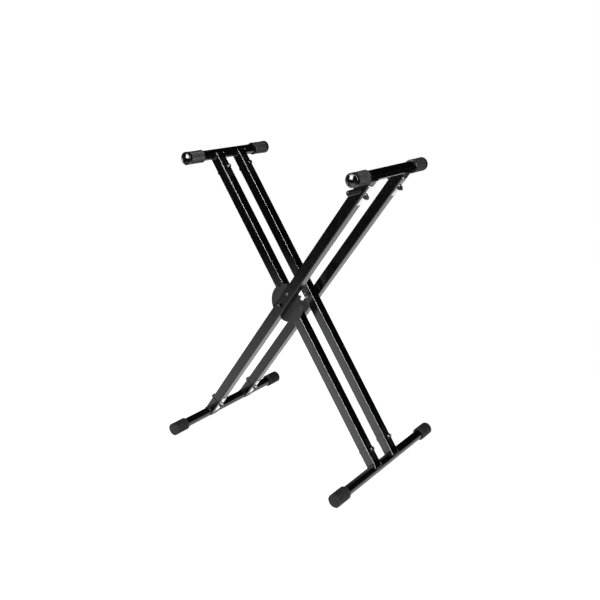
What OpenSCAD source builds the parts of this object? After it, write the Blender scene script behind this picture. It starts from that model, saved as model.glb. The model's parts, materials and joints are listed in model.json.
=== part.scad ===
// Folding keyboard stand: two crossed frames of square tube on one pivot axis.
// A notched disc on the inner frame and a sliding latch in the outer frame set the height.
// Millimetres. The floor is z = 0 and the pivot axis runs along y at x = 0.
// Each frame has local axes: x across the leg in its plane, y along the bars, z up the leg.

/* [Stance] */
// Lean of each frame from upright, as the stand is drawn
lean = 35.2; // [33:0.2:38]
// Pivot axis to the axis of each top bar
top_reach = 478; // [470:1:500]
// Pivot axis to the axis of each foot bar
foot_reach = 524; // [515:1:545]
// Axis of a top bar to the seam under its stubs
top_stub_len = 63; // [58:1:75]
// Axis of a foot bar to the seam over its stubs
foot_stub_len = 67; // [58:1:80]

/* [Square tube] */
// Outside width of the square tube
tube = 30; // [29:0.5:32]
// Wall of the square tube
tube_wall = 1.2; // [1:0.1:1.6]
// Outside corner radius of the square tube
tube_corner = 2.5; // [2:0.1:4]
// Middle of the stand to the middle of each inner leg
inner_leg_y = 45.5; // [44:0.5:52]
// Gap at the seams under the top bars
top_seam_gap = 0.4; // [0.2:0.1:2]
// Gap at the seams over the inner foot bar
inner_foot_gap = 0.9; // [0.2:0.1:3]
// Gap at the seams over the outer foot bar
outer_foot_gap = 2.4; // [0.2:0.1:3]

/* [Bars and end pieces] */
// Outside radius of the round bars
bar_r = 14.25; // [13:0.25:14.5]
// Wall of the round bars
bar_wall = 1.2; // [1:0.1:1.8]
// Half the overall length of a foot bar with its caps
foot_half = 246.5; // [225:0.5:270]
// Wall of a foot cap out to its ribs
foot_cap_wall = 4.65; // [4:0.05:6]
// Length of a foot cap
foot_cap_len = 51.5; // [44:0.5:60]
// Outside face of the outer legs to the sleeves on the top bars
sleeve_start = 10.8; // [4:0.2:30]
// Wall of a top sleeve
sleeve_wall = 3.85; // [3:0.05:5]
// Length of a top sleeve
sleeve_len = 61; // [50:0.5:75]
// How far the cam of the levelling foot stands out past its cap
cam_lift = 1; // [0.6:0.1:1.6]

/* [Height lock] */
// Radius of the notched disc
disc_r = 56.7; // [52:0.1:60]
// Thickness of the notched disc
disc_t = 4; // [3:0.1:5]
// Washer between the disc and the outer leg
disc_washer_t = 1.7; // [1.2:0.1:2.5]
// Depth of a notch
notch_depth = 6; // [5:0.1:7]
// Angle from one height to the next
notch_pitch = 15; // [14:0.5:16]
// Spread of the frames when folded away
folded_spread = 6; // [5.4:0.1:8]
// Width of the latch tooth
tooth_w = 7; // [5:0.1:8]

/* [Release handle] */
// Gap for the fingers between the handle and the sleeve over it
squeeze_gap = 16; // [12:0.2:18]
// How far the handle stands out from the leg
handle_len = 50; // [44:0.5:60]
// Radius of the grip on the handle
grip_r = 7.5; // [6.5:0.1:8.5]
// Offset of the handle and its pull strip across the leg
handle_x = 3.5; // [0:0.1:4]

/* [Fasteners] */
// Radius of the shanks of the bolts
bolt_r = 4; // [3.6:0.1:5.2]
// Seam to the bolt through the stub
bolt_inset = 12; // [11:0.5:13]

/* [Hidden] */
$fn = 64;
dome_fn = 160;
half_turn = 180;
quarter_turn = 90;

// Overrun of every cut past the face that it opens
cut = 1;
// Radial clearance of a turning fit, and of a bolt in its hole
run_clear = 0.05;
bolt_clear = 0.25;
// Clearance of a piece that slides in its guide, and least gap to what it passes
slide_clear = 0.3;

// Heights that the disc offers on each side of the one drawn
wider_steps = 3;
lower_steps = 2;

// Places that follow from the tubes
tube_half = tube / 2;
tube_in = tube - 2 * tube_wall;
side_gap = disc_t + disc_washer_t;
outer_leg_y = inner_leg_y + tube + side_gap;
spread = 2 * lean;
top_seam = top_reach - top_stub_len;
foot_seam = foot_reach - foot_stub_len;
foot_cap_r = bar_r + foot_cap_wall;
sleeve_r = bar_r + sleeve_wall;
top_half = outer_leg_y + tube_half + sleeve_start + sleeve_len;
pivot_z = foot_reach * cos(lean) + foot_cap_r;
handle_z = top_reach - sleeve_r - squeeze_gap - grip_r;

// A stub stops short of the axis of its bar; one bead runs round the saddle on each side of the
// stub, and another along the end of each of its other two walls
stub_short = 2;
bead_r = 2;
edge_bead_r = 1.5;

// Inserts that join each stub to its leg
insert_wall = 1.5;
insert_clear = 0.15;
insert_in_leg = 60;
insert_to_bar = 5;
insert_out = tube_in - 2 * insert_clear;
insert_in = insert_out - 2 * insert_wall;
insert_corner = tube_corner - tube_wall;

// Hexagon heads and nuts, with washers and the end of the thread
flats = 3.25 * bolt_r;
hex_r = flats / sqrt(3);
head_h = 1.3 * bolt_r;
nut_h = 1.6 * bolt_r;
thread_end = 4;
thread_bevel = 1;
washer_r = 2 * bolt_r;
washer_t = 1.6;
spring_washer_r = 1.7 * bolt_r;
spring_washer_t = 2;

// Plate across each joint, under its nut
plate_len = 62;
plate_w = 18;
plate_t = 1.5;
plate_corner = 3;

// Bushes that hold the pivot bolts
bush_wall = 3;
bush_r = bolt_r + bush_wall;

// Disc: rim bevel, notch clearance on each side of the tooth, and the space left under its tip
disc_bevel = 0.6;
notch_clear = 0.25;
tip_clear = 0.3;
rim_clear = 0.5;
notch_w = tooth_w + 2 * notch_clear;
notch_floor = disc_r - notch_depth;
disc_washer_rim = 6;
disc_washer_r = washer_r + disc_washer_rim;

// Latch: travel from the rim to the bottom of a notch
tooth_z = disc_r + rim_clear;
latch_travel = rim_clear + notch_depth - tip_clear;
tooth_len = 10;
tooth_root = 8;
tooth_end = side_gap - slide_clear;
slider_w = tube_in - 2 * slide_clear;
slider_below = 18;
slider_len = 56;
slider_corner = insert_corner;

// Guide rivet that shows in the near face of the outer front leg
guide_x = -2.5;
guide_r = 2.5;
guide_head_r = 3.6;
guide_head_t = 2;
guide_root = 9;
guide_below = 10;

// Pull strip from the slider to the handle, lying near the outside wall of the leg
strip_w = 10;
strip_t = 2;
strip_room = 2.15;
strip_y = insert_in / 2 - strip_room - strip_t / 2;
strip_grip = 34;
strip_past = 7;

// Return spring and the seat that it pushes against
spring_r = 5.2;
spring_wire_r = 0.8;
spring_len = 30;
spring_turns = 7;
spring_y = 2;
spring_steps = 8;
spring_sides = 6;
seat_len = 12;
seat_clear = 0.05;

// Handle, grip and button
grip_wall = 3.5;
handle_r = grip_r - grip_wall;
handle_gap = 1;
button_t = 2.4;
button_share = 0.93;
grip_bevel = 0.8;

// Sleeves: rounding at the outer and inner ends, end band and groove
sleeve_round = 2;
sleeve_inner_round = 1.2;
band_len = 9;
groove_w = 1.4;
groove_depth = 0.6;
rim_depth = 4.6;

// Plugs in the ends of the top bars
plug_clear = 0.2;
plug_flange = 2;
plug_dome = 4;
plug_shank = 16;

// Foot caps: end wall, ribs and rounding
cap_end = 4;
cap_gap = 0.3;
cap_round = 1.6;
rib_depth = 0.7;
rib_count = 8;
rib_share = 0.72;
cam_round = 3;
cam_angle = -70;

// Places a piece drawn in the axes of the inner frame
module inner() {
    translate([0, 0, pivot_z]) rotate([0, -lean, 0]) children();
}

// Places a piece drawn in the axes of the outer frame
module outer() {
    translate([0, 0, pivot_z]) rotate([0, lean, 0]) children();
}

// Round solid along y from y0 to y1
module along_y(y0, y1, r) {
    translate([0, y0, 0]) rotate([-quarter_turn, 0, 0]) cylinder(r = r, h = y1 - y0);
}

// Turned solid whose profile is drawn in x for radius and y for distance along +y
module turned_y() {
    rotate([-quarter_turn, 0, 0]) rotate_extrude() children();
}

// Rectangular outline with rounded corners
module rounded_rectangle(length, width, corner) {
    square([length, width - 2 * corner], center = true);
    square([length - 2 * corner, width], center = true);
    for (sx = [-1, 1], sy = [-1, 1])
        translate([sx * (length / 2 - corner), sy * (width / 2 - corner)]) circle(r = corner);
}

module rounded_square(width, corner) {
    rounded_rectangle(width, width, corner);
}

// Square tube standing along z
module square_tube(width, wall, corner, z0, z1) {
    translate([0, 0, z0]) linear_extrude(height = z1 - z0)
        difference() {
            rounded_square(width, corner);
            rounded_square(width - 2 * wall, max(corner - wall, corner / 4));
        }
}

// Slot cut along y through a wall, for a round piece that moves from z0 to z1
module slot_y(x, y0, y1, r, z0, z1) {
    translate([x, 0, z0]) along_y(y0, y1, r);
    translate([x, 0, z1]) along_y(y0, y1, r);
    translate([x - r, y0, z0]) cube([2 * r, y1 - y0, z1 - z0]);
}

// Hexagon prism along z from zero
module hexagon(h) {
    cylinder(r = hex_r, h = h, $fn = 6);
}

// Leg between its two seams, with the holes for its pivot bush
module leg(y) {
    difference() {
        translate([0, y, 0])
            square_tube(tube, tube_wall, tube_corner, -foot_seam, top_seam);
        along_y(y - tube_half - cut, y + tube_half + cut, bush_r);
    }
}

// Round bar along y with open ends
module bar(half, z) {
    translate([0, 0, z]) difference() {
        along_y(-half, half, bar_r);
        along_y(-half - cut, half + cut, bar_r - bar_wall);
    }
}

// Bead that runs round the saddle, on the leg side of the bar
module bead() {
    rotate([-quarter_turn, 0, 0]) intersection() {
        rotate_extrude() translate([bar_r, 0]) circle(r = bead_r, $fn = 24);
        translate([-bar_r - 2 * bead_r, stub_short, -2 * bead_r])
            cube([2 * bar_r + 4 * bead_r, bar_r + 2 * bead_r, 4 * bead_r]);
    }
}

// Stub welded to a bar, drawn for the upper end of a leg
module stub(y, seam, reach, gap) {
    difference() {
        union() {
            translate([0, y, 0])
                square_tube(tube, tube_wall, tube_corner, seam + gap, reach - stub_short);
            for (side = [-1, 1]) {
                translate([0, y + side * tube_half, reach]) bead();
                translate([side * tube_half, 0, reach - stub_short])
                    along_y(y - tube_half, y + tube_half, edge_bead_r);
            }
        }
        translate([0, 0, reach]) along_y(y - tube, y + tube, bar_r);
        translate([0, y, seam + bolt_inset]) rotate([0, quarter_turn, 0])
            cylinder(r = bolt_r + bolt_clear, h = 2 * tube, center = true);
    }
}

// The same at the lower end of a leg
module foot_stub(y, gap) {
    mirror([0, 0, 1]) stub(y, foot_seam, foot_reach, gap);
}

// Square insert fixed in the end of a leg, drawn for the upper end
module insert(y, seam, reach) {
    difference() {
        translate([0, y, 0]) square_tube(
            insert_out, insert_wall, insert_corner,
            seam - insert_in_leg, reach - bar_r - insert_to_bar
        );
        translate([0, y, seam + bolt_inset]) rotate([0, quarter_turn, 0])
            cylinder(r = bolt_r + bolt_clear, h = 2 * tube, center = true);
    }
}

// Opening in the near walls for the handle and its travel
module handle_slot() {
    slot_y(
        handle_x, -outer_leg_y - tube_half - cut, -outer_leg_y - strip_y,
        handle_r + slide_clear, handle_z - latch_travel, handle_z
    );
}

module inserts(leg_y, slotted) {
    difference() {
        for (side = [-1, 1]) {
            insert(side * leg_y, top_seam, top_reach);
            mirror([0, 0, 1]) insert(side * leg_y, foot_seam, foot_reach);
        }
        if (slotted) handle_slot();
    }
}

// Bush across a leg, with a bore for the pivot bolt
module bushes(leg_y) {
    for (side = [-1, 1]) translate([0, side * leg_y, 0])
        difference() {
            along_y(-tube_half, tube_half, bush_r);
            along_y(-tube_half - cut, tube_half + cut, bolt_r + run_clear);
        }
}

// Repeats a piece drawn along +x at each of the four joints of a frame
module at_joints(leg_y) {
    for (side = [-1, 1], z = [top_seam + bolt_inset, -foot_seam - bolt_inset])
        translate([0, side * leg_y, z]) rotate([0, quarter_turn, 0]) children();
}

head_face = tube_half + washer_t + spring_washer_t;
nut_face = tube_half + plate_t + washer_t;

// Bolt drawn along z: the head is below head_z and the thread ends at end_z
module bolt(head_z, end_z) {
    translate([0, 0, head_z - head_h]) hexagon(head_h);
    translate([0, 0, head_z - head_h / 2])
        cylinder(r = bolt_r, h = end_z - thread_bevel - head_z + head_h / 2);
    translate([0, 0, end_z - thread_bevel])
        cylinder(r1 = bolt_r, r2 = bolt_r - thread_bevel, h = thread_bevel);
}

module washer(r, t, z) {
    translate([0, 0, z]) difference() {
        cylinder(r = r, h = t);
        translate([0, 0, -cut]) cylinder(r = bolt_r + bolt_clear, h = t + 2 * cut);
    }
}

// Hexagon nut with its corners bevelled at the outer face
module nut(z) {
    translate([0, 0, z]) difference() {
        intersection() {
            hexagon(nut_h);
            union() {
                cylinder(r = hex_r, h = nut_h - thread_bevel);
                translate([0, 0, nut_h - thread_bevel])
                    cylinder(r1 = hex_r, r2 = hex_r - 2 * thread_bevel, h = thread_bevel);
            }
        }
        translate([0, 0, -cut]) cylinder(r = bolt_r, h = nut_h + 2 * cut);
    }
}

module joint_bolts(leg_y) {
    at_joints(leg_y) bolt(-head_face, nut_face + nut_h + thread_end);
}

// Plate that lies along the leg and bridges the seam
module joint_plates(leg_y) {
    at_joints(leg_y) translate([0, 0, tube_half]) linear_extrude(height = plate_t)
        difference() {
            rounded_rectangle(plate_len, plate_w, plate_corner);
            circle(r = bolt_r + bolt_clear);
        }
}

module joint_washers(leg_y) {
    at_joints(leg_y) {
        washer(washer_r, washer_t, -tube_half - washer_t);
        washer(washer_r, washer_t, tube_half + plate_t);
    }
}

module joint_spring_washers(leg_y) {
    at_joints(leg_y) washer(spring_washer_r, spring_washer_t, -head_face);
}

module joint_nuts(leg_y) {
    at_joints(leg_y) nut(nut_face);
}

// Sleeve on the end of a top bar, drawn for the +y end
module sleeve() {
    translate([0, top_half - sleeve_len, top_reach]) turned_y() difference() {
        union() {
            translate([bar_r, sleeve_inner_round])
                square([sleeve_wall, sleeve_len - sleeve_round - sleeve_inner_round]);
            translate([bar_r, 0]) square([sleeve_wall - sleeve_round, sleeve_len]);
            translate([bar_r, 0])
                square([sleeve_wall - sleeve_inner_round, sleeve_len - sleeve_round]);
            translate([sleeve_r - sleeve_round, sleeve_len - sleeve_round])
                circle(r = sleeve_round);
            translate([sleeve_r - sleeve_inner_round, sleeve_inner_round])
                circle(r = sleeve_inner_round);
        }
        translate([sleeve_r - groove_depth, sleeve_len - band_len - groove_w])
            square([groove_depth + cut, groove_w]);
    }
}

top_bar_half = top_half - rim_depth;

// Domed plug in the end of a top bar, drawn for the +y end
module end_plug() {
    flange_r = bar_r - plug_clear;
    ball_r = (flange_r * flange_r + plug_dome * plug_dome) / (2 * plug_dome);
    dome_y = top_bar_half + plug_flange;
    translate([0, 0, top_reach]) {
        along_y(top_bar_half - plug_shank, top_bar_half, bar_r - bar_wall);
        along_y(top_bar_half, dome_y, flange_r);
        intersection() {
            translate([0, dome_y + plug_dome - ball_r, 0]) sphere(r = ball_r, $fn = dome_fn);
            along_y(dome_y, dome_y + 2 * plug_dome, flange_r);
        }
    }
}

module both_ends() {
    children();
    mirror([0, 1, 0]) children();
}

foot_bar_half = foot_half - cap_end - cap_gap;

// Outline of a foot cap along its length: a ribbed barrel with a rounded end
module cap_outline(bore_r) {
    base_r = foot_cap_r - rib_depth;
    ribbed = foot_cap_len - 2 * cap_round;
    pitch = ribbed / rib_count;
    difference() {
        union() {
            translate([0, cap_round]) square([base_r, ribbed]);
            square([foot_cap_r - cap_round, foot_cap_len]);
            for (end_y = [cap_round, foot_cap_len - cap_round])
                translate([foot_cap_r - cap_round, end_y]) circle(r = cap_round);
            for (i = [0:rib_count - 1])
                translate([0, cap_round + i * pitch]) square([foot_cap_r, pitch * rib_share]);
        }
        translate([0, -cut]) square([bore_r, foot_cap_len - cap_end + cut]);
    }
}

// Foot cap drawn for the +y end of a foot bar
module foot_cap(bore_r) {
    translate([0, foot_half - foot_cap_len, -foot_reach]) turned_y() cap_outline(bore_r);
}

// Cap that turns on its bar, with a cam along one side; drawn for the -y end
module cam_cap() {
    cam_out = foot_cap_r + cam_lift - cam_round;
    cam_tilt = cam_angle - lean;
    tangent = acos((foot_cap_r - cam_round) / cam_out);
    mirror([0, 1, 0]) foot_cap(bar_r + run_clear);
    translate([0, -foot_half + foot_cap_len - cap_round, -foot_reach]) rotate([quarter_turn, 0, 0])
        linear_extrude(height = foot_cap_len - 2 * cap_round) difference() {
            rotate(cam_tilt) union() {
                translate([cam_out, 0]) circle(r = cam_round);
                polygon([
                    for (side = [-1, 1])
                        [foot_cap_r * cos(tangent), side * foot_cap_r * sin(tangent)],
                    for (side = [1, -1])
                        [cam_out + cam_round * cos(tangent), side * cam_round * sin(tangent)]
                ]);
            }
            circle(r = foot_cap_r - rib_depth - cut);
        }
}

module inner_leg_front() { color("#26272a") inner() leg(-inner_leg_y); }
module inner_leg_rear() { color("#26272a") inner() leg(inner_leg_y); }
module inner_top_bar() { color("#1c1d20") inner() bar(top_bar_half, top_reach); }
module inner_foot_bar() { color("#1c1d20") inner() bar(foot_bar_half, -foot_reach); }
module inner_top_stub_front() {
    color("#303236") inner() stub(-inner_leg_y, top_seam, top_reach, top_seam_gap);
}
module inner_top_stub_rear() {
    color("#303236") inner() stub(inner_leg_y, top_seam, top_reach, top_seam_gap);
}
module inner_foot_stub_front() { color("#303236") inner() foot_stub(-inner_leg_y, inner_foot_gap); }
module inner_foot_stub_rear() { color("#303236") inner() foot_stub(inner_leg_y, inner_foot_gap); }
module inner_inserts() { color("slategray") inner() inserts(inner_leg_y, false); }
module inner_bushes() { color("silver") inner() bushes(inner_leg_y); }
module inner_top_sleeve_front() { color("dimgray") inner() mirror([0, 1, 0]) sleeve(); }
module inner_top_sleeve_rear() { color("dimgray") inner() sleeve(); }
module inner_end_plugs() { color("black") inner() both_ends() end_plug(); }
module inner_foot_cap_rear() { color("gray") inner() foot_cap(bar_r); }
module levelling_foot() { color("darkgray") inner() cam_cap(); }
module inner_joint_bolts() { color("gainsboro") inner() joint_bolts(inner_leg_y); }
module inner_joint_plates() { color("gainsboro") inner() joint_plates(inner_leg_y); }
module inner_joint_washers() { color("silver") inner() joint_washers(inner_leg_y); }
module inner_spring_washers() { color("gray") inner() joint_spring_washers(inner_leg_y); }
module inner_joint_nuts() { color("gainsboro") inner() joint_nuts(inner_leg_y); }

// Disc welded to the inner front leg; a notch lies at each spread that the latch can hold
module lock_disc() {
    face_y = -inner_leg_y - tube_half - disc_t;
    steps = [for (i = [-lower_steps:wider_steps]) spread + i * notch_pitch];
    color("#3a3c40") inner() difference() {
        translate([0, face_y, 0]) turned_y() polygon([
            [bolt_r + run_clear, 0],
            [disc_r - disc_bevel, 0],
            [disc_r, disc_bevel],
            [disc_r, disc_t - disc_bevel],
            [disc_r - disc_bevel, disc_t],
            [bolt_r + run_clear, disc_t]
        ]);
        for (angle = concat(steps, [folded_spread])) rotate([0, angle, 0])
            translate([-notch_w / 2, face_y - cut, notch_floor])
                cube([notch_w, disc_t + 2 * cut, notch_depth + cut]);
    }
}

// Outer front leg with a window for the tooth and a slot for the guide rivet
module outer_leg_front() {
    near_y = -outer_leg_y - tube_half;
    far_y = -outer_leg_y + tube_half;
    guide_z = tooth_z - guide_below;
    color("#2c2d31") outer() difference() {
        leg(-outer_leg_y);
        translate([
            -tooth_w / 2 - slide_clear, far_y - tube_wall - cut,
            tooth_z - latch_travel - slide_clear
        ]) cube([
            tooth_w + 2 * slide_clear, tube_wall + 2 * cut,
            tooth_len + latch_travel + 2 * slide_clear
        ]);
        slot_y(
            guide_x, near_y - cut, near_y + tube_wall + cut,
            guide_r + slide_clear, guide_z - latch_travel, guide_z
        );
    }
}
module outer_leg_rear() { color("#2c2d31") outer() leg(outer_leg_y); }
module outer_top_bar() { color("#1c1d20") outer() bar(top_bar_half, top_reach); }
module outer_foot_bar() { color("#1c1d20") outer() bar(foot_bar_half, -foot_reach); }
module outer_top_stub_front() {
    color("#303236") outer() difference() {
        stub(-outer_leg_y, top_seam, top_reach, top_seam_gap);
        handle_slot();
    }
}
module outer_top_stub_rear() {
    color("#303236") outer() stub(outer_leg_y, top_seam, top_reach, top_seam_gap);
}
module outer_foot_stub_front() { color("#303236") outer() foot_stub(-outer_leg_y, outer_foot_gap); }
module outer_foot_stub_rear() { color("#303236") outer() foot_stub(outer_leg_y, outer_foot_gap); }
module outer_inserts() { color("slategray") outer() inserts(outer_leg_y, true); }
module outer_bushes() { color("silver") outer() bushes(outer_leg_y); }
module outer_top_sleeve_front() { color("dimgray") outer() mirror([0, 1, 0]) sleeve(); }
module outer_top_sleeve_rear() { color("dimgray") outer() sleeve(); }
module outer_end_plugs() { color("black") outer() both_ends() end_plug(); }
module outer_foot_cap_front() { color("gray") outer() mirror([0, 1, 0]) foot_cap(bar_r); }
module outer_foot_cap_rear() { color("gray") outer() foot_cap(bar_r); }
module outer_joint_bolts() { color("gainsboro") outer() joint_bolts(outer_leg_y); }
module outer_joint_plates() { color("gainsboro") outer() joint_plates(outer_leg_y); }
module outer_joint_washers() { color("silver") outer() joint_washers(outer_leg_y); }
module outer_spring_washers() { color("gray") outer() joint_spring_washers(outer_leg_y); }
module outer_joint_nuts() { color("gainsboro") outer() joint_nuts(outer_leg_y); }

// Both pivots are drawn along z from the outer leg inwards, with zero at its outside face
module at_pivots() {
    for (side = [0, 1]) mirror([0, side, 0])
        translate([0, -outer_leg_y - tube_half, 0]) rotate([-quarter_turn, 0, 0]) children();
}

pivot_grip = 2 * tube + side_gap;
pivot_end = pivot_grip + washer_t + nut_h + thread_end;

module pivot_bolts() { color("gainsboro") outer() at_pivots() bolt(-washer_t, pivot_end); }
module pivot_washers() {
    color("silver") outer() at_pivots() {
        washer(washer_r, washer_t, -washer_t);
        washer(washer_r, washer_t, pivot_grip);
    }
}
module pivot_nuts() { color("gainsboro") outer() at_pivots() nut(pivot_grip + washer_t); }
module disc_washer() {
    color("white") outer() translate([0, -outer_leg_y + tube_half, 0])
        rotate([-quarter_turn, 0, 0]) washer(disc_washer_r, disc_washer_t, 0);
}
module rear_spacer() {
    color("white") outer() translate([0, outer_leg_y - tube_half - side_gap, 0])
        rotate([-quarter_turn, 0, 0]) washer(washer_r, side_gap, 0);
}

// Slider in the outer front leg, with a pocket for the tooth and a channel for the strip
module latch_slider() {
    color("ivory") outer() difference() {
        translate([0, -outer_leg_y, tooth_z - slider_below])
            linear_extrude(height = slider_len) rounded_square(slider_w, slider_corner);
        tooth_block();
        strip_block();
        translate([guide_x, 0, tooth_z - guide_below])
            along_y(-outer_leg_y - tube, -outer_leg_y - tube_half + guide_root, guide_r);
    }
}

module tooth_block() {
    translate([-tooth_w / 2, -outer_leg_y + tube_half - tooth_root, tooth_z])
        cube([tooth_w, tooth_root + tooth_end, tooth_len]);
}

module strip_block() {
    bottom = tooth_z - slider_below + slider_len - strip_grip;
    translate([handle_x - strip_w / 2, -outer_leg_y - strip_y - strip_t / 2, bottom])
        cube([strip_w, strip_t, handle_z + strip_past - bottom]);
}

module latch_tooth() { color("gold") outer() tooth_block(); }

module guide_rivet() {
    near_y = -outer_leg_y - tube_half;
    color("gainsboro") outer() translate([guide_x, 0, tooth_z - guide_below]) {
        along_y(near_y - slide_clear - guide_head_t / 2, near_y + guide_root, guide_r);
        along_y(near_y - slide_clear - guide_head_t, near_y - slide_clear, guide_head_r);
    }
}

module pull_strip() { color("lightsteelblue") outer() strip_block(); }

handle_root = -outer_leg_y - strip_y - strip_t / 2;
handle_end = -outer_leg_y - tube_half - handle_len;

module release_handle() {
    color("silver") outer() translate([handle_x, 0, handle_z])
        along_y(handle_end, handle_root, handle_r);
}

// Tube of soft plastic over the handle, bevelled at both ends
module handle_grip() {
    grip_len = -outer_leg_y - tube_half - handle_gap - handle_end;
    color("dimgray") outer() translate([handle_x, handle_end, handle_z]) turned_y() polygon([
        [handle_r, 0],
        [grip_r - grip_bevel, 0],
        [grip_r, grip_bevel],
        [grip_r, grip_len - grip_bevel],
        [grip_r - grip_bevel, grip_len],
        [handle_r, grip_len]
    ]);
}

// Domed button that closes the end of the handle
module handle_button() {
    edge_r = grip_r * button_share;
    ball_r = (edge_r * edge_r + button_t * button_t) / (2 * button_t);
    color("black") outer() translate([handle_x, handle_end, handle_z]) intersection() {
        translate([0, ball_r - button_t, 0]) sphere(r = ball_r, $fn = dome_fn);
        along_y(-2 * button_t, 0, edge_r);
    }
}

spring_z = tooth_z - slider_below + slider_len;

// Compression spring: one round wire wound between the slider and its seat
module coil(r, wire_r, len, turns) {
    rings = turns * spring_steps;
    rise = len - 2 * wire_r;
    points = [
        for (i = [0:rings], j = [0:spring_sides - 1])
            let (
                a = i * 2 * half_turn / spring_steps,
                b = j * 2 * half_turn / spring_sides,
                out = r + wire_r * cos(b)
            )
            [out * cos(a), out * sin(a), wire_r + rise * i / rings + wire_r * sin(b)]
    ];
    sides = [
        for (i = [0:rings - 1], j = [0:spring_sides - 1])
            let (k = (j + 1) % spring_sides, m = i * spring_sides)
            [m + j, m + spring_sides + j, m + spring_sides + k, m + k]
    ];
    start = [for (j = [0:spring_sides - 1]) j];
    end = [for (j = [spring_sides - 1:-1:0]) rings * spring_sides + j];
    polyhedron(points = points, faces = concat([start, end], sides), convexity = turns);
}

module return_spring() {
    color("orange") outer() translate([0, -outer_leg_y + spring_y, spring_z])
        coil(spring_r, spring_wire_r, spring_len, spring_turns);
}

// Plug fixed in the leg, with a channel that the strip runs through
module spring_seat() {
    color("khaki") outer() difference() {
        translate([0, -outer_leg_y, spring_z + spring_len])
            linear_extrude(height = seat_len)
                rounded_square(tube_in - 2 * seat_clear, insert_corner);
        translate([
            handle_x - strip_w / 2 - slide_clear, -outer_leg_y - tube,
            spring_z + spring_len - cut
        ]) cube([
            strip_w + 2 * slide_clear, tube - strip_y + strip_t / 2 + slide_clear,
            seat_len + 2 * cut
        ]);
    }
}

inner_leg_front();
inner_leg_rear();
inner_top_bar();
inner_foot_bar();
inner_top_stub_front();
inner_top_stub_rear();
inner_foot_stub_front();
inner_foot_stub_rear();
inner_inserts();
inner_bushes();
lock_disc();
inner_top_sleeve_front();
inner_top_sleeve_rear();
inner_end_plugs();
inner_foot_cap_rear();
levelling_foot();
inner_joint_bolts();
inner_joint_plates();
inner_joint_washers();
inner_spring_washers();
inner_joint_nuts();
outer_leg_front();
outer_leg_rear();
outer_top_bar();
outer_foot_bar();
outer_top_stub_front();
outer_top_stub_rear();
outer_foot_stub_front();
outer_foot_stub_rear();
outer_inserts();
outer_bushes();
outer_top_sleeve_front();
outer_top_sleeve_rear();
outer_end_plugs();
outer_foot_cap_front();
outer_foot_cap_rear();
outer_joint_bolts();
outer_joint_plates();
outer_joint_washers();
outer_spring_washers();
outer_joint_nuts();
pivot_bolts();
pivot_washers();
pivot_nuts();
disc_washer();
rear_spacer();
latch_slider();
latch_tooth();
guide_rivet();
pull_strip();
release_handle();
handle_grip();
handle_button();
return_spring();
spring_seat();
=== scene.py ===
"""Looks of the folding keyboard stand: paint, rubber, fasteners, light and camera.

Metres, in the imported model's frame. Each frame of the stand has local axes as in the CAD source:
x across the leg in its plane, y along the bars, z up the leg, with the origin on the pivot axis.
"""

import json
import math

import bmesh
import bpy
from mathutils import Matrix, Vector


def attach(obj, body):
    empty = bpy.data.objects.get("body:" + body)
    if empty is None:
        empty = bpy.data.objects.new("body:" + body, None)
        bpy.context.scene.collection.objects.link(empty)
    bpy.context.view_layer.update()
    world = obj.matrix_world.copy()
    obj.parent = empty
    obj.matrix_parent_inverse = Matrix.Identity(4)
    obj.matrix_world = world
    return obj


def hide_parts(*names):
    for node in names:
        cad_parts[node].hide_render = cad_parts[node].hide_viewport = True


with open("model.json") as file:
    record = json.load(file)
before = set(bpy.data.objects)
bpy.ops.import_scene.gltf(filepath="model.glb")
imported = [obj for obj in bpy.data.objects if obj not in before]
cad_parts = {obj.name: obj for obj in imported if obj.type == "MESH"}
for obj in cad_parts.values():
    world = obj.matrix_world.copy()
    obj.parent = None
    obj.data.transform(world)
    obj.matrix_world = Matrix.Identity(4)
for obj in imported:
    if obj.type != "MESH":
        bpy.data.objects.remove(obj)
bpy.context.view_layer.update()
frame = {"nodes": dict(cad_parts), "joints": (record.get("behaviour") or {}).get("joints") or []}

MM = 0.001
PIVOT_Z = next(joint["pos_m"][2] for joint in frame["joints"] if joint["name"] == "fold")
LEAN = math.radians(35.2)

# Places along the legs and bars, in millimetres
TOP_REACH = 478
FOOT_REACH = 524
TOP_BOLT = 427
FOOT_BOLT = 469
INNER_Y = 45.5
OUTER_Y = 81.2
TUBE_HALF = 15
BAR_R = 14.25
SLEEVE_R = 18.1
SLEEVE_LEN = 61
TOP_HALF = 168
TOP_BAR_HALF = 163.4
CAP_R = 18.9
CAP_LEN = 51.5
FOOT_HALF = 246.5
NEAR_FACE = -OUTER_Y - TUBE_HALF

# Release latch
HANDLE_X = 3.5
HANDLE_Z = 436.4
HANDLE_LEN = 50
HANDLE_BORE = 4.0
GRIP_R = 7.5
RIVET_X = -2.5
RIVET_Z = 47.2
SPRING_Y = -OUTER_Y + 2
SPRING_Z = 95.2

# Way that the levelling foot's crest points, turned from +x: down and 20 degrees outwards
CREST_TURN = math.radians(-70)

# Fasteners
BOLT_R = 4
HOLE_R = BOLT_R + 0.25
HEX_FLAT = 6.5
HEX_R = HEX_FLAT / math.cos(math.pi / 6)
HEAD_H = 5.2
NUT_H = 6.4
THREAD_LEN = 12
THREAD_END = 4
THREAD_PITCH = 1.5
THREAD_DEPTH = 0.75
WASHER_R = 8
WASHER_T = 1.6
SPLIT_R = 6.8
SPLIT_T = 2.0
PLATE_T = 1.5
PIVOT_GRIP = 65.7


def frame_matrix(which):
    """Local axes of the inner or outer frame, in metres."""
    turn = -LEAN if which == "inner" else LEAN
    return Matrix.Translation((0, 0, PIVOT_Z)) @ Matrix.Rotation(turn, 4, "Y") @ Matrix.Scale(MM, 4)


INNER = frame_matrix("inner")
OUTER = frame_matrix("outer")


def at(x, y, z):
    """A place in a frame's local axes."""
    return Matrix.Translation((x, y, z))


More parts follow.
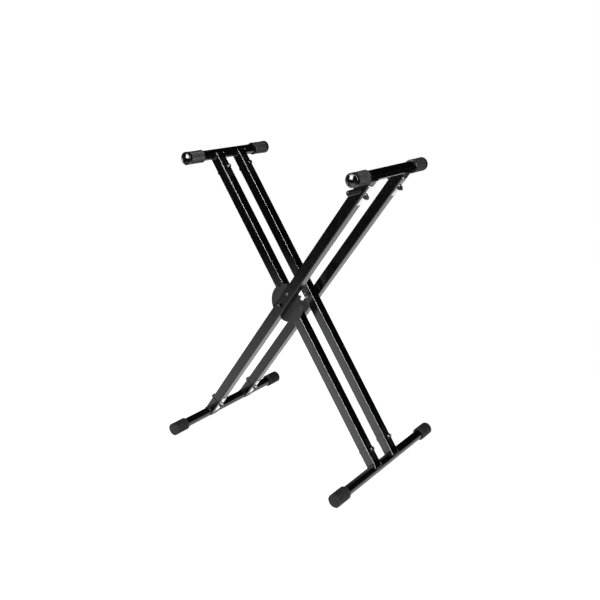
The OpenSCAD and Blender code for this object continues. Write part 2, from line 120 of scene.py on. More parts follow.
# Turns a piece drawn along z so that it lies along another local axis
TO_Y = Matrix.Rotation(-math.pi / 2, 4, "X")
TO_MINUS_Y = Matrix.Rotation(math.pi / 2, 4, "X")
TO_X = Matrix.Rotation(math.pi / 2, 4, "Y")


# Materials

# The part of a noise field over which a surface goes from its low to its high value
NOISE_LOW = 0.3
NOISE_HIGH = 0.7
TONE_DETAIL = 4.0
PEEL_DETAIL = 2.0
COAT_ROUGHNESS = 0.05

# Fine bumps that materials share: waves per metre, height in metres and strength
PAINT_PEEL = (350, 0.00004, 0.04)
ZINC_PEEL = (2500, 0.00002, 0.15)


def new_material(name):
    """An empty material with its shader linked to the output."""
    mat = bpy.data.materials.new(name)
    mat.use_nodes = True
    nodes = mat.node_tree.nodes
    nodes.clear()
    out = nodes.new("ShaderNodeOutputMaterial")
    shader = nodes.new("ShaderNodeBsdfPrincipled")
    mat.node_tree.links.new(shader.outputs[0], out.inputs["Surface"])
    return mat, shader


def noise_field(mat, scale, detail, stretch):
    """Noise in object space; scale is in waves per metre."""
    tree = mat.node_tree
    coords = tree.nodes.new("ShaderNodeTexCoord")
    mapping = tree.nodes.new("ShaderNodeMapping")
    mapping.inputs["Scale"].default_value = stretch
    noise = tree.nodes.new("ShaderNodeTexNoise")
    noise.inputs["Scale"].default_value = scale
    noise.inputs["Detail"].default_value = detail
    tree.links.new(coords.outputs["Object"], mapping.inputs["Vector"])
    tree.links.new(mapping.outputs["Vector"], noise.inputs["Vector"])
    return noise.outputs["Fac"]


def spread(mat, field, low, high):
    """Maps a noise field to a range of numbers."""
    tree = mat.node_tree
    node = tree.nodes.new("ShaderNodeMapRange")
    node.inputs["From Min"].default_value = NOISE_LOW
    node.inputs["From Max"].default_value = NOISE_HIGH
    node.inputs["To Min"].default_value = low
    node.inputs["To Max"].default_value = high
    tree.links.new(field, node.inputs["Value"])
    return node.outputs["Result"]


def two_tones(mat, field, dark, light):
    """Runs from one colour to another with a field of 0 to 1."""
    tree = mat.node_tree
    ramp = tree.nodes.new("ShaderNodeValToRGB")
    ramp.color_ramp.elements[0].position = NOISE_LOW
    ramp.color_ramp.elements[1].position = NOISE_HIGH
    ramp.color_ramp.elements[0].color = (*dark, 1)
    ramp.color_ramp.elements[1].color = (*light, 1)
    tree.links.new(field, ramp.inputs["Fac"])
    return ramp.outputs["Color"]


def bump(mat, shader, field, height, strength):
    """Bump of a given height in metres."""
    tree = mat.node_tree
    node = tree.nodes.new("ShaderNodeBump")
    node.inputs["Strength"].default_value = strength
    node.inputs["Distance"].default_value = height
    tree.links.new(field, node.inputs["Height"])
    tree.links.new(node.outputs["Normal"], shader.inputs["Normal"])


def surface(
    name, dark, light, rough, metal=0.0, grain=300, peel=None, stretch=(1, 1, 1), coat=0.0, ior=1.5,
    flat=False
):
    """A material whose colour and roughness vary by noise, with a fine bump.

    rough is a (low, high) pair and peel is (waves per metre, height, strength). A flat material
    ignores the smoothed normals, for thin plates with square edges.
    """
    mat, shader = new_material(name)
    link = mat.node_tree.links.new
    field = noise_field(mat, grain, TONE_DETAIL, stretch)
    link(two_tones(mat, field, dark, light), shader.inputs["Base Color"])
    link(spread(mat, field, *rough), shader.inputs["Roughness"])
    shader.inputs["Metallic"].default_value = metal
    shader.inputs["IOR"].default_value = ior
    if coat:
        shader.inputs["Coat Weight"].default_value = coat
        shader.inputs["Coat Roughness"].default_value = COAT_ROUGHNESS
    if peel:
        waves, height, strength = peel
        bump(mat, shader, noise_field(mat, waves, PEEL_DETAIL, stretch), height, strength)
    if flat:
        face = mat.node_tree.nodes.new("ShaderNodeNewGeometry")
        link(face.outputs["True Normal"], shader.inputs["Normal"])
    return mat


def grey(value):
    """A grey with a trace of blue."""
    return (value, value, value * 1.02)


LEG_PAINT = surface(
    "leg_paint", grey(0.0016), grey(0.0032), (0.09, 0.12), grain=35, peel=PAINT_PEEL, ior=1.65
)
# The leg paint again with a weaker reflection, so that the outer frame comes out darker than the
# inner one: painted shade
OUTER_SHADED_PAINT = surface(
    "outer_leg_shaded_paint", grey(0.0026), grey(0.0051), (0.12, 0.16), grain=35, peel=PAINT_PEEL,
    ior=1.46
)
BAR_PAINT = surface(
    "bar_paint", grey(0.0019), grey(0.0038), (0.12, 0.17), grain=35, peel=PAINT_PEEL, ior=1.65
)
DISC_PAINT = surface(
    "disc_paint", grey(0.024), grey(0.035), (0.40, 0.50), grain=60, peel=(1200, 0.00003, 0.10),
    ior=1.3
)
DARK_ZINC = surface(
    "dark_zinc", (0.060, 0.060, 0.062), (0.100, 0.100, 0.100), (0.12, 0.22), metal=1.0, grain=900,
    peel=ZINC_PEEL
)
BRIGHT_ZINC = surface(
    "bright_zinc", (0.52, 0.53, 0.54), (0.64, 0.64, 0.63), (0.14, 0.24), metal=1.0, grain=600,
    peel=ZINC_PEEL
)
PLATE_ZINC = surface(
    "plate_zinc", (0.74, 0.75, 0.76), (0.84, 0.84, 0.83), (0.12, 0.20), metal=1.0, grain=300,
    flat=True
)
RAW_STEEL = surface(
    "raw_steel", (0.30, 0.30, 0.31), (0.46, 0.46, 0.46), (0.30, 0.46), metal=1.0, grain=500,
    stretch=(1, 1, 0.08), peel=(2500, 0.00002, 0.3)
)
SPRING_STEEL = surface(
    "spring_steel", (0.12, 0.12, 0.13), (0.20, 0.20, 0.21), (0.16, 0.26), metal=1.0, grain=900,
    peel=(3000, 0.00002, 0.2)
)
SLEEVE_RUBBER = surface(
    "sleeve_rubber", grey(0.008), grey(0.052), (0.40, 0.52), grain=260, peel=(2400, 0.00006, 0.5),
    ior=1.3
)
FOOT_RUBBER = surface(
    "foot_rubber", grey(0.016), grey(0.032), (0.46, 0.60), grain=200, peel=(2600, 0.00006, 0.5),
    ior=1.3
)
# Dent floors of the foot caps, far darker than the rubber around them: painted shade in the recesses
FOOT_DENT_SHADE = surface(
    "foot_dent_shade", grey(0.0032), grey(0.0064), (0.70, 0.80), grain=200, peel=(2600, 0.00006, 0.3),
    ior=1.3
)
FOOT_END = surface(
    "foot_end", grey(0.009), grey(0.018), (0.50, 0.60), grain=160, peel=(1800, 0.00006, 0.3),
    ior=1.3
)
GRIP_RUBBER = surface(
    "grip_rubber", grey(0.008), grey(0.016), (0.40, 0.52), grain=300, peel=(2600, 0.00006, 0.4),
    ior=1.35
)
PLUG_GLOSS = surface(
    "plug_gloss", grey(0.0026), grey(0.0045), (0.05, 0.08), grain=150, coat=0.6,
    peel=(500, 0.00002, 0.04), ior=1.8
)
# Near-black with almost no reflection, painted shade: it darkens the seams where the inserts show,
# and the inner joint plates, zinc parts like the outer ones, wear it so that they catch no glints
SHADE_BLACK = surface(
    "shade_black", grey(0.0025), grey(0.0050), (0.60, 0.72), grain=300, peel=(1500, 0.00004, 0.3),
    ior=1.12
)
SLEEVE_END = surface(
    "sleeve_end", grey(0.0032), grey(0.0064), (0.14, 0.20), grain=200, peel=(900, 0.00002, 0.1),
    ior=1.45
)
NYLON = surface(
    "black_nylon", grey(0.038), grey(0.058), (0.40, 0.52), grain=250, peel=(1500, 0.00004, 0.3)
)


# Mesh tools: every piece below is drawn along z in millimetres


def ring_loft(bm, rings, count, closed=False, diamonds=()):
    """Skins rings of (z, radius or function of the angle index) into a surface.

    diamonds is a range of ring numbers whose cells are split so that their peaks stand alone.
    """
    rows = []
    for z, radius in rings:
        row = []
        for i in range(count):
            a = 2 * math.pi * i / count
            r = radius(i) if callable(radius) else radius
            row.append(bm.verts.new((r * math.cos(a), r * math.sin(a), z)))
        rows.append(row)
    pairs = list(zip(range(len(rows)), range(1, len(rows))))
    if closed:
        pairs.append((len(rows) - 1, 0))
    for j, k in pairs:
        for i in range(count):
            n = (i + 1) % count
            a, b, c, d = rows[j][i], rows[j][n], rows[k][n], rows[k][i]
            if j in diamonds:
                if (i + j) % 2:
                    bm.faces.new((a, b, c))
                    bm.faces.new((a, c, d))
                else:
                    bm.faces.new((a, b, d))
                    bm.faces.new((b, c, d))
            else:
                bm.faces.new((a, b, c, d))
    return rows


def skin_rows(bm, rows):
    """Skins closed outlines in order and caps the first and the last."""
    for low, high in zip(rows, rows[1:]):
        for k in range(len(low)):
            n = (k + 1) % len(low)
            bm.faces.new((low[k], low[n], high[n], high[k]))
    bm.faces.new(rows[0])
    bm.faces.new(rows[-1])


def close_end(bm, row, z, flip):
    """Fans an end ring in to a point on the axis at height z."""
    centre = bm.verts.new((0, 0, z))
    for i in range(len(row)):
        a, b = row[i], row[(i + 1) % len(row)]
        bm.faces.new((b, a, centre) if flip else (a, b, centre))


def arc(cx, cz, r, start, end, steps):
    """(z, radius) points of an arc; angles in degrees from the outward direction towards +z."""
    points = []
    for i in range(steps + 1):
        a = math.radians(start + (end - start) * i / steps)
        points.append((cz + r * math.sin(a), cx + r * math.cos(a)))
    return points


def groove(r, z, flank, flat, depth):
    """(z, radius) points of a shallow groove, from one rim to the other."""
    return [(z, r), (z + flank, r - depth), (z + flank + flat, r - depth), (z + 2 * flank + flat, r)]


def dome(edge, rise, steps):
    """(height, radius) points of a cap of a ball, between its edge and its top."""
    ball = (edge * edge + rise * rise) / (2 * rise)
    points = []
    for i in range(1, steps):
        a = math.asin(edge / ball) * (1 - i / steps)
        points.append((rise - ball + ball * math.cos(a), ball * math.sin(a)))
    return points


def finish_mesh(name, bm, mats, body, nodes, sharp=35):
    """Makes the object, shades it smooth up to the sharp angle, and ties it to its body and nodes."""
    bmesh.ops.recalc_face_normals(bm, faces=bm.faces)
    limit = math.radians(sharp)
    for face in bm.faces:
        face.smooth = True
    for edge in bm.edges:
        if len(edge.link_faces) == 2 and edge.calc_face_angle(0) > limit:
            edge.smooth = False
    mesh = bpy.data.meshes.new(name)
    bm.to_mesh(mesh)
    bm.free()
    for mat in mats:
        mesh.materials.append(mat)
    obj = bpy.data.objects.new(name, mesh)
    bpy.context.scene.collection.objects.link(obj)
    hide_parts(*nodes)
    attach(obj, body)


def copy_into(target, source, matrix):
    """Adds a copy of one bmesh to another, placed by a matrix."""
    mesh = bpy.data.meshes.new("part")
    source.to_mesh(mesh)
    mesh.transform(matrix)
    target.from_mesh(mesh)
    bpy.data.meshes.remove(mesh)


# Ends of the bars


def sleeve_mesh():
    """Diamond-knurled sleeve from its inner end at z 0 to its outer end."""
    bm = bmesh.new()
    columns, rows, depth = 52, 22, 1.0
    start, end = 1.6, 49.9
    inner_round, outer_round = 1.2, 2
    groove_z, flank, flat = 50.2, 0.3, 1.5
    floor_end = groove_z + flank + flat
    mouth, mouth_depth = 0.35, 1.0
    rings = [(0, BAR_R)] + arc(SLEEVE_R - inner_round, inner_round, inner_round, -90, 0, 5)
    first = len(rings)
    for j in range(rows + 1):
        parity = (first + j) % 2
        z = start + (end - start) * j / rows
        rings.append((z, lambda i, p=parity: SLEEVE_R - depth * ((i + p) % 2)))
    last = len(rings) - 1
    # Groove between the knurl and the smooth outer end
    rings += groove(SLEEVE_R - 0.1, groove_z, flank, flat, 0.5)
    rings.append((floor_end + 0.8, SLEEVE_R))
    rings += arc(SLEEVE_R - outer_round, SLEEVE_LEN - outer_round, outer_round, 0, 90, 7)
    rings += [(SLEEVE_LEN - mouth, BAR_R + mouth), (SLEEVE_LEN - mouth_depth, BAR_R)]
    ring_loft(bm, rings, columns, closed=True, diamonds=range(first, last))
    for face in bm.faces:
        face.material_index = 0 if start < face.calc_center_median().z < floor_end else 1
    return bm


def cap_mesh(cam=False):
    """Foot cap from its open end at z 0 to its closed end, with a grid of pressed squares."""
    bm = bmesh.new()
    columns, rows = 26, 7
    ridge, slope, depth = 0.34, 0.07, 1.3
    start, end = 7.0, 43.5
    pitch = (end - start) / rows
    bore, lead, round_r = BAR_R + 0.05, 0.6, 1.6
    inner_end = CAP_LEN - 4
    near_groove, far_groove, groove_depth = 4.4, end + 1.9, 0.45

    def dented(i):
        return CAP_R - depth if i % 4 in (2, 3) else CAP_R

    # The four angles of a column are moved to the edges of its ridge
    angles = []
    for c in range(columns):
        for share in (0, ridge, ridge + slope, 1 - slope):
            angles.append(2 * math.pi * (c + share) / columns)
    rings = [(inner_end, bore), (lead, bore), (0, BAR_R + lead)]
    rings += arc(CAP_R - round_r, round_r, round_r, -90, 0, 5)
    rings += groove(CAP_R, near_groove, 0.3, 0.9, groove_depth)
    for j in range(rows):
        z = start + j * pitch
        rings.append((z, CAP_R))
        rings.append((z + ridge * pitch, CAP_R))
        rings.append((z + (ridge + slope) * pitch, dented))
        rings.append((z + (1 - slope) * pitch, dented))
    rings.append((end, CAP_R))
    rings += groove(CAP_R, far_groove, 0.3, 0.8, groove_depth)
    rings += arc(CAP_R - round_r, CAP_LEN - round_r, round_r, 0, 90, 6)
    made = ring_loft(bm, rings, 4 * columns)
    for row in made:
        for i, v in enumerate(row):
            r = math.hypot(v.co.x, v.co.y)
            v.co.x, v.co.y = r * math.cos(angles[i]), r * math.sin(angles[i])
    close_end(bm, made[-1], CAP_LEN, False)
    close_end(bm, made[0], inner_end, True)
    end_face, dent_r = CAP_LEN - 0.3, CAP_R - depth + 0.1
    # The end face takes its own material, and the dent floors a darker one that paints shade into the
    # recesses
    for face in bm.faces:
        z = face.calc_center_median().z
        if z > end_face:
            face.material_index = 2
        elif start < z < end and max(v.co.xy.length for v in face.verts) < dent_r:
            face.material_index = 1
    if cam:
        add_cam(bm)
    return bm


def add_cam(bm):
    """Ridge along the levelling foot, with a rounded crest and rounded ends."""
    lift, r, steps = 1.0, 3.0, 12
    root = CAP_R - 1.5
    near, far = 1.6, 49.9
    round_off = ((0, 1.0), (0.3, 0.4), (1.0, 0))
    out = CAP_R + lift - r
    tangent = math.degrees(math.acos((CAP_R - r) / out))
    flank = math.radians(tangent)
    outline = [(root * math.cos(flank), -root * math.sin(flank))]
    for i in range(steps + 1):
        a = math.radians(-tangent + 2 * tangent * i / steps)
        outline.append((out + r * math.cos(a), r * math.sin(a)))
    outline.append((outline[0][0], -outline[0][1]))
    stations = [(near + along, inset) for along, inset in round_off]
    stations += [(far - along, inset) for along, inset in reversed(round_off)]
    rows = []
    for z, inset in stations:
        row = []
        for x, y in outline:
            scale = (math.hypot(x, y) - inset) / math.hypot(x, y)
            row.append(bm.verts.new((x * scale, y * scale, z)))
        rows.append(row)
    for low, high in zip(rows, rows[1:]):
        for i in range(len(outline) - 1):
            bm.faces.new((low[i], low[i + 1], high[i + 1], high[i]))
    bm.faces.new(rows[0])
    bm.faces.new(rows[-1])


def plug_mesh():
    """Domed plug: shank in the bar, flange from z 0, and dome."""
    bm = bmesh.new()
    flange, flange_h, rise = BAR_R - 0.2, 2.0, 2.6
    shank, tip, bore, length = BAR_R - 1.25, BAR_R - 2.0, 8.5, 16
    inner = flange - 1.1
    steps, dome_steps = 64, 15
    rings = [(-length, bore), (-length, tip), (1 - length, shank), (0, shank)]
    rings += [(0, flange), (flange_h - 0.5, flange), (flange_h - 0.15, flange - 0.15)]
    rings += [(flange_h, flange - 0.45), (flange_h, inner)]
    rings += [(flange_h + z, r) for z, r in dome(inner, rise, dome_steps)]
    made = ring_loft(bm, rings, steps)
    close_end(bm, made[-1], flange_h + rise, False)
    close_end(bm, made[0], -length, True)
    return bm


def pieces_at_ends():
    """Sleeves, end plugs and foot caps of both frames."""
    sleeve = sleeve_mesh()
    plug = plug_mesh()
    cap = cap_mesh()
    lever = cap_mesh(cam=True)
    cap_mats = (FOOT_RUBBER, FOOT_DENT_SHADE, FOOT_END)
    for name, place, body in (("inner", INNER, "inner_frame"), ("outer", OUTER, "outer_frame")):
        plugs = bmesh.new()
        for end, turn, side in (("front", TO_MINUS_Y, -1), ("rear", TO_Y, 1)):
            start = at(0, side * (TOP_HALF - SLEEVE_LEN), TOP_REACH)
            bm = bmesh.new()
            copy_into(bm, sleeve, place @ start @ turn)
            finish_mesh(
                f"{name}_sleeve_{end}", bm, (SLEEVE_RUBBER, SLEEVE_END), body,
                [f"{name}_top_sleeve_{end}"], sharp=20
            )
            copy_into(plugs, plug, place @ at(0, side * TOP_BAR_HALF, TOP_REACH) @ turn)
            low = place @ at(0, side * (FOOT_HALF - CAP_LEN), -FOOT_REACH) @ turn
            bm = bmesh.new()
            if name == "inner" and end == "front":
                spin = Matrix.Rotation(CREST_TURN - LEAN, 4, "Z")
                copy_into(bm, lever, low @ spin)
                finish_mesh(
                    "levelling_cap", bm, cap_mats, "level_foot",
                    ["levelling_foot"]
                )
            else:
                copy_into(bm, cap, low)
                finish_mesh(
                    f"{name}_cap_{end}", bm, cap_mats, body,
                    [f"{name}_foot_cap_{end}"]
                )
        finish_mesh(
            f"{name}_plugs", plugs, (PLUG_GLOSS,), body, [f"{name}_end_plugs"]
        )
    for bm in (sleeve, plug, cap, lever):
        bm.free()


# Fasteners

HEX_STEPS = 72
BOLT_STEPS = 24
WASHER_STEPS = 56


def hex_radius(i):
    """Radius of the hexagon at an angle step, with corners at steps 0, 12, 24 and so on."""
    turn = (2 * math.pi * i / HEX_STEPS) % (math.pi / 3)
    return HEX_R * math.cos(math.pi / 6) / math.cos(turn - math.pi / 6)


def chamfered(limit):
    """Radius of the hexagon where a cone cuts off its corners."""
    return lambda i: min(hex_radius(i), limit)


def thread(bm, start, end):
    """Screw thread from z start to end, with a bevelled tip."""
    rows_per_turn = 8
    bevel, tip_share = 0.9, 0.86
    rows = int((end - start) / THREAD_PITCH * rows_per_turn)
    rings = []
    for j in range(rows + 1):
        z = start + (end - start) * j / rows
        fade = min(1.0, (end - z) / bevel)

        def radius(i, z=z, fade=fade):
            wave = abs(((z / THREAD_PITCH - i / BOLT_STEPS) % 1.0) * 2 - 1)
            return (BOLT_R - THREAD_DEPTH * wave) * (tip_share + (1 - tip_share) * fade)

        rings.append((z, radius))
    made = ring_loft(bm, rings, BOLT_STEPS)
    close_end(bm, made[-1], end, False)


def bolt_mesh(head, end):
    """Hexagon bolt: the head's underside is at z head and the thread ends at z end."""
    bm = bmesh.new()
    top = head - HEAD_H
    bevel, rise, steps = 0.5, 0.25, 4
    face_h, face_r = 0.4, HEX_FLAT - 0.2
    dish, dish_r, rim_r = 0.3, HEX_FLAT - 2.1, HEX_FLAT - 1.3
    relief = 0.3
    rings = [(top, HEX_FLAT - bevel)]
    for i in range(1, steps + 1):
        rings.append((top + i * rise, chamfered(HEX_FLAT - bevel + i * bevel)))
    rings += [(head - face_h, hex_radius), (head - face_h, face_r), (head, face_r), (head, BOLT_R)]
    made = ring_loft(bm, rings, HEX_STEPS)
    # Shallow dish in the top of the head
    inner = ring_loft(bm, [(top + dish, dish_r), (top, rim_r)], HEX_STEPS)
    close_end(bm, inner[0], top + dish, True)
    for i in range(HEX_STEPS):
        n = (i + 1) % HEX_STEPS
        bm.faces.new((inner[1][i], inner[1][n], made[0][n], made[0][i]))
    start = end - THREAD_LEN
    ring_loft(bm, [(head, BOLT_R), (start, BOLT_R), (start, BOLT_R - relief)], BOLT_STEPS)
    thread(bm, start, end)
    return bm


def nut_mesh(start):
    """Hexagon nut with bevels on both faces, from z start."""
    bm = bmesh.new()
    end = start + NUT_H
    bevel, low_rise, low_inset = 0.8, 0.25, 0.3
    top_inset, steps = 0.45, 3
    mouth, mouth_depth = 0.8, 0.7
    rings = [(start, BOLT_R), (start, HEX_FLAT - low_inset), (start + low_rise, chamfered(HEX_FLAT))]
    rings += [(start + bevel, hex_radius), (end - bevel, hex_radius)]
    for i in range(1, steps + 1):
        rings.append((end - bevel + bevel * i / steps, chamfered(HEX_R - top_inset * i)))
    rings += [(end, BOLT_R + mouth), (end - mouth_depth, BOLT_R)]
    ring_loft(bm, rings, HEX_STEPS, closed=True)
    return bm


def washer_mesh(start):
    """Flat washer with bevelled edges, from z start."""
    bm = bmesh.new()
    bevel = 0.25
    end = start + WASHER_T
    rings = [(start, HOLE_R), (start, WASHER_R - bevel), (start + bevel, WASHER_R)]
    rings += [(end - bevel, WASHER_R), (end, WASHER_R - bevel)]
    rings += [(end, HOLE_R + bevel), (end - bevel, HOLE_R)]
    ring_loft(bm, rings, WASHER_STEPS, closed=True)
    return bm


def spring_washer_mesh(start):
    """Split ring with its two cut ends a little apart."""
    bm = bmesh.new()
    steps = 48
    gap, spring = math.radians(7), 0.3
    rows = []
    for i in range(steps + 1):
        a = gap + (2 * math.pi - 2 * gap) * i / steps
        low = start + spring * (1 - i / steps)
        high = low + SPLIT_T - spring
        row = []
        for radius, z in ((HOLE_R, low), (SPLIT_R, low), (SPLIT_R, high), (HOLE_R, high)):
            row.append(bm.verts.new((radius * math.cos(a), radius * math.sin(a), z)))
        rows.append(row)
    skin_rows(bm, rows)
    return bm


def fasteners():
    """Bolts, washers and nuts of the joints and of the pivot."""
    head = -(TUBE_HALF + WASHER_T + SPLIT_T)
    nut = TUBE_HALF + PLATE_T + WASHER_T
    bolt = bolt_mesh(head, nut + NUT_H + THREAD_END)
    plain = [washer_mesh(-TUBE_HALF - WASHER_T), washer_mesh(TUBE_HALF + PLATE_T)]
    split = spring_washer_mesh(head)
    nuts = nut_mesh(nut)
    for name, place, leg_y in (("inner", INNER, INNER_Y), ("outer", OUTER, OUTER_Y)):
        spots = [
            place @ at(0, side * leg_y, z) @ TO_X
            for side in (-1, 1) for z in (TOP_BOLT, -FOOT_BOLT)
        ]
        kinds = (
            ("bolts", [bolt], "joint_bolts", DARK_ZINC, "zinc_steel"),
            ("washers", plain, "joint_washers", DARK_ZINC, "zinc_steel"),
            ("split_washers", [split], "spring_washers", SPRING_STEEL, "zinc_steel"),
            ("nuts", [nuts], "joint_nuts", DARK_ZINC, "zinc_steel"),
        )
        for label, meshes, node, mat, slot in kinds:
            bm = bmesh.new()
            for k, spot in enumerate(spots):
                # Each is turned by whole sixths, so that hexagons stay on the CAD outline
                spin = Matrix.Rotation(math.pi / 3 * k, 4, "Z")
                for mesh in meshes:
                    copy_into(bm, mesh, spot @ spin)
            finish_mesh(
                f"{name}_{label}", bm, (mat,), f"{name}_frame", [f"{name}_{node}"], sharp=28
            )
    for bm in (bolt, split, nuts, *plain):
        bm.free()
    pivot_nut = PIVOT_GRIP + WASHER_T
    bolt = bolt_mesh(-WASHER_T, pivot_nut + NUT_H + THREAD_END)
    washers = [washer_mesh(-WASHER_T), washer_mesh(PIVOT_GRIP)]
    pieces = (
        ("pivot_bolt_pair", [bolt], "pivot_bolts", DARK_ZINC),
        ("pivot_washer_pair", washers, "pivot_washers", DARK_ZINC),
        ("pivot_nut_pair", [nut_mesh(pivot_nut)], "pivot_nuts", BRIGHT_ZINC),
    )
    near = OUTER @ at(0, NEAR_FACE, 0) @ TO_Y
    far = OUTER @ at(0, -NEAR_FACE, 0) @ TO_MINUS_Y
    for label, meshes, node, mat in pieces:
        bm = bmesh.new()
        for mesh in meshes:
            for spot in (near, far):
                copy_into(bm, mesh, spot)
            mesh.free()
        finish_mesh(label, bm, (mat,), "outer_frame", [node], sharp=28)


# Release latch


def rivet_piece():
    """Rivet with a domed head that rides in its slot."""
    bm = bmesh.new()
    shank, tail, bore, length = 2.5, 2.2, 1.7, 9
    head, rise = 3.6, 1.6
    under, rim = -0.3, -0.7
    steps, dome_steps = 40, 9
    rings = [(length, bore), (length, tail), (length - 0.3, shank), (under, shank)]
    rings += [(under, head), (rim, head)]
    for i in range(1, dome_steps):
        a = math.pi / 2 * i / dome_steps
        rings.append((rim - rise * math.sin(a), head * math.cos(a)))
    made = ring_loft(bm, rings, steps)
    close_end(bm, made[-1], rim - rise, True)
    close_end(bm, made[0], length, False)
    rivet = bmesh.new()
    copy_into(rivet, bm, OUTER @ at(RIVET_X, NEAR_FACE, RIVET_Z) @ TO_Y)
    bm.free()
    finish_mesh("latch_rivet", rivet, (SPRING_STEEL,), "release_latch", ["guide_rivet"])


def grip_pieces():
    """Rubber grip with shallow rings, and the domed button on its end."""
    place = OUTER @ at(HANDLE_X, NEAR_FACE - HANDLE_LEN, HANDLE_Z)
    steps, dome_steps = 56, 12
    length, round_r = HANDLE_LEN - 1, 0.8
    count, first, pitch = 7, 6, 5.4
    bm = bmesh.new()
    rings = [(0, HANDLE_BORE)] + arc(GRIP_R - round_r, round_r, round_r, -90, 0, 4)
    for k in range(count):
        rings += groove(GRIP_R, first + k * pitch, 0.35, 1.0, 0.45)
    rings += arc(GRIP_R - round_r, length - round_r, round_r, 0, 90, 4) + [(length, HANDLE_BORE)]
    ring_loft(bm, rings, steps, closed=True)
    grip = bmesh.new()
    copy_into(grip, bm, place @ TO_Y)
    bm.free()
    finish_mesh("grip_tube", grip, (GRIP_RUBBER,), "release_latch", ["handle_grip"])

    edge, rise = GRIP_R * 0.93, 2.4
    bm = bmesh.new()
    rings = [(0, HANDLE_BORE), (0, edge - 0.2), (0.25, edge - 0.02)]
    rings += dome(edge, rise, dome_steps)
    made = ring_loft(bm, rings, steps)
    close_end(bm, made[-1], rise, False)
    close_end(bm, made[0], 0, True)
    button = bmesh.new()
    copy_into(button, bm, place @ TO_MINUS_Y)
    bm.free()
    finish_mesh(
        "grip_button", button, (SLEEVE_END,), "release_latch", ["handle_button"]
    )


def spring_piece():
    """Return spring as one smooth wound wire with a flat turn at each end."""
    bm = bmesh.new()
    turns, per_turn, sides = 7.0, 40, 12
    radius, wire, length = 5.2, 0.8, 30.0
    rows = []
    for i in range(int(turns * per_turn) + 1):
        t = i / (turns * per_turn)
        a = 2 * math.pi * turns * t
        # The end turns lie nearly flat
        rise = 0.5 * (t + (1 - math.cos(math.pi * t)) / 2)
        z = wire + (length - 2 * wire) * rise
        row = []
        for k in range(sides):
            b = 2 * math.pi * k / sides
            out = radius + wire * math.cos(b)
            row.append(bm.verts.new((out * math.cos(a), out * math.sin(a), z + wire * math.sin(b))))
        rows.append(row)
    skin_rows(bm, rows)
    coil = bmesh.new()
    copy_into(coil, bm, OUTER @ at(0, SPRING_Y, SPRING_Z))
    bm.free()
    finish_mesh(
        "latch_spring", coil, (SPRING_STEEL,), "outer_frame", ["return_spring"]
    )


# Materials of the CAD nodes that stay


def dress_nodes():
    """Gives each node the material of the first word that its name holds."""
    by_word = (
        ("lock_disc", DISC_PAINT),
        # The outer frame takes the darker copy of the leg paint, which paints shade on it
        ("outer_leg", OUTER_SHADED_PAINT),
        ("inner_leg", LEG_PAINT),
        ("outer_top_stub", OUTER_SHADED_PAINT),
        ("outer_foot_stub", OUTER_SHADED_PAINT),
        ("stub", LEG_PAINT),
        ("_bar", BAR_PAINT),
        # Painted shade: black for the inserts in the seams, and for the inner plates in place of
        # their zinc
        ("inserts", SHADE_BLACK),
        ("inner_joint_plates", SHADE_BLACK),
        ("outer_joint_plates", PLATE_ZINC),
        ("bushes", RAW_STEEL),
        ("disc_washer", NYLON),
        ("rear_spacer", NYLON),
        ("latch_slider", NYLON),
        ("spring_seat", NYLON),
        ("latch_tooth", RAW_STEEL),
        ("pull_strip", RAW_STEEL),
        ("release_handle", DARK_ZINC),
    )
    for name, obj in frame["nodes"].items():
        for word, mat in by_word:
            if word in name and obj.type == "MESH":
                obj.data.materials.clear()
                obj.data.materials.append(mat)
                break


# Floor, world, lamps and camera

# The bright sheet under the stand fades between two distances from a point on the floor, and again
# towards its far right edge; all in metres
SHEET_CENTRE = (0.5, 0.5, 0)
SHEET_NEAR = 0.9
SHEET_FAR = 2.9
SHEET_SIDE = (0.8, 0.6, 0)
SHEET_EDGE = (0.92, 1.15)
SHEET_LEVEL = 0.90
PAPER_LEVEL = 0.77
FLOOR_HALF = 12
FLOOR_CELLS = 24
FLOOR_GREY = 0.8

# Strengths of the floor and the world
DARK_ROOM = 0.012
FLOOR_WHITE = 1.01
SHEET_SHADE = -0.06
WORLD_WHITE = 1.01
WORLD_SOFT = 0.11
ROOM_HEIGHTS = (-0.02, 0.10)
ROOM_LEVELS = (0.05, 0.006)

# Each lamp's name, the (azimuth, elevation) of its two ends, its distance, width and radiance, and
# whether it shows in reflections only. left_glint stands a little in front of left_light, because a
# lamp that shares its place with another is lost in reflections.
LAMPS = (
    ("left_light", (-28, 8), (-28, 32), 2.2, 1.1, 2.8, False),
    ("front_light", (38, 0), (10, 40), 2.5, 0.65, 10, False),
    ("left_glint", (-28, 8), (-28, 32), 2.18, 1.1, 9, True),
    ("right_glint", (76, 10), (60, 63), 2.5, 0.50, 48, True),
)

# Camera: angles in degrees, places in metres, lens and sensor in millimetres
CAMERA_AZIMUTH = 37.77
CAMERA_ELEVATION = 19.13
CAMERA_ROLL = 0.30
CAMERA_DISTANCE = 2.1077
CAMERA_TARGET = (-0.0005, -0.0035, 0.4399)
CAMERA_LENS = 43.78
CAMERA_SENSOR = 36


def map_range(tree, field, from_min, from_max, to_min, to_max):
    """Runs smoothly from one range of numbers to another."""
    node = tree.nodes.new("ShaderNodeMapRange")
    node.interpolation_type = "SMOOTHSTEP"
    node.inputs["From Min"].default_value = from_min
    node.inputs["From Max"].default_value = from_max
    node.inputs["To Min"].default_value = to_min
    node.inputs["To Max"].default_value = to_max
    tree.links.new(field, node.inputs["Value"])
    return node.outputs["Result"]


def largest(tree, a, b):
    """The larger of two values."""
    node = tree.nodes.new("ShaderNodeMath")
    node.operation = "MAXIMUM"
    tree.links.new(a, node.inputs[0])
    tree.links.new(b, node.inputs[1])
    return node.outputs[0]


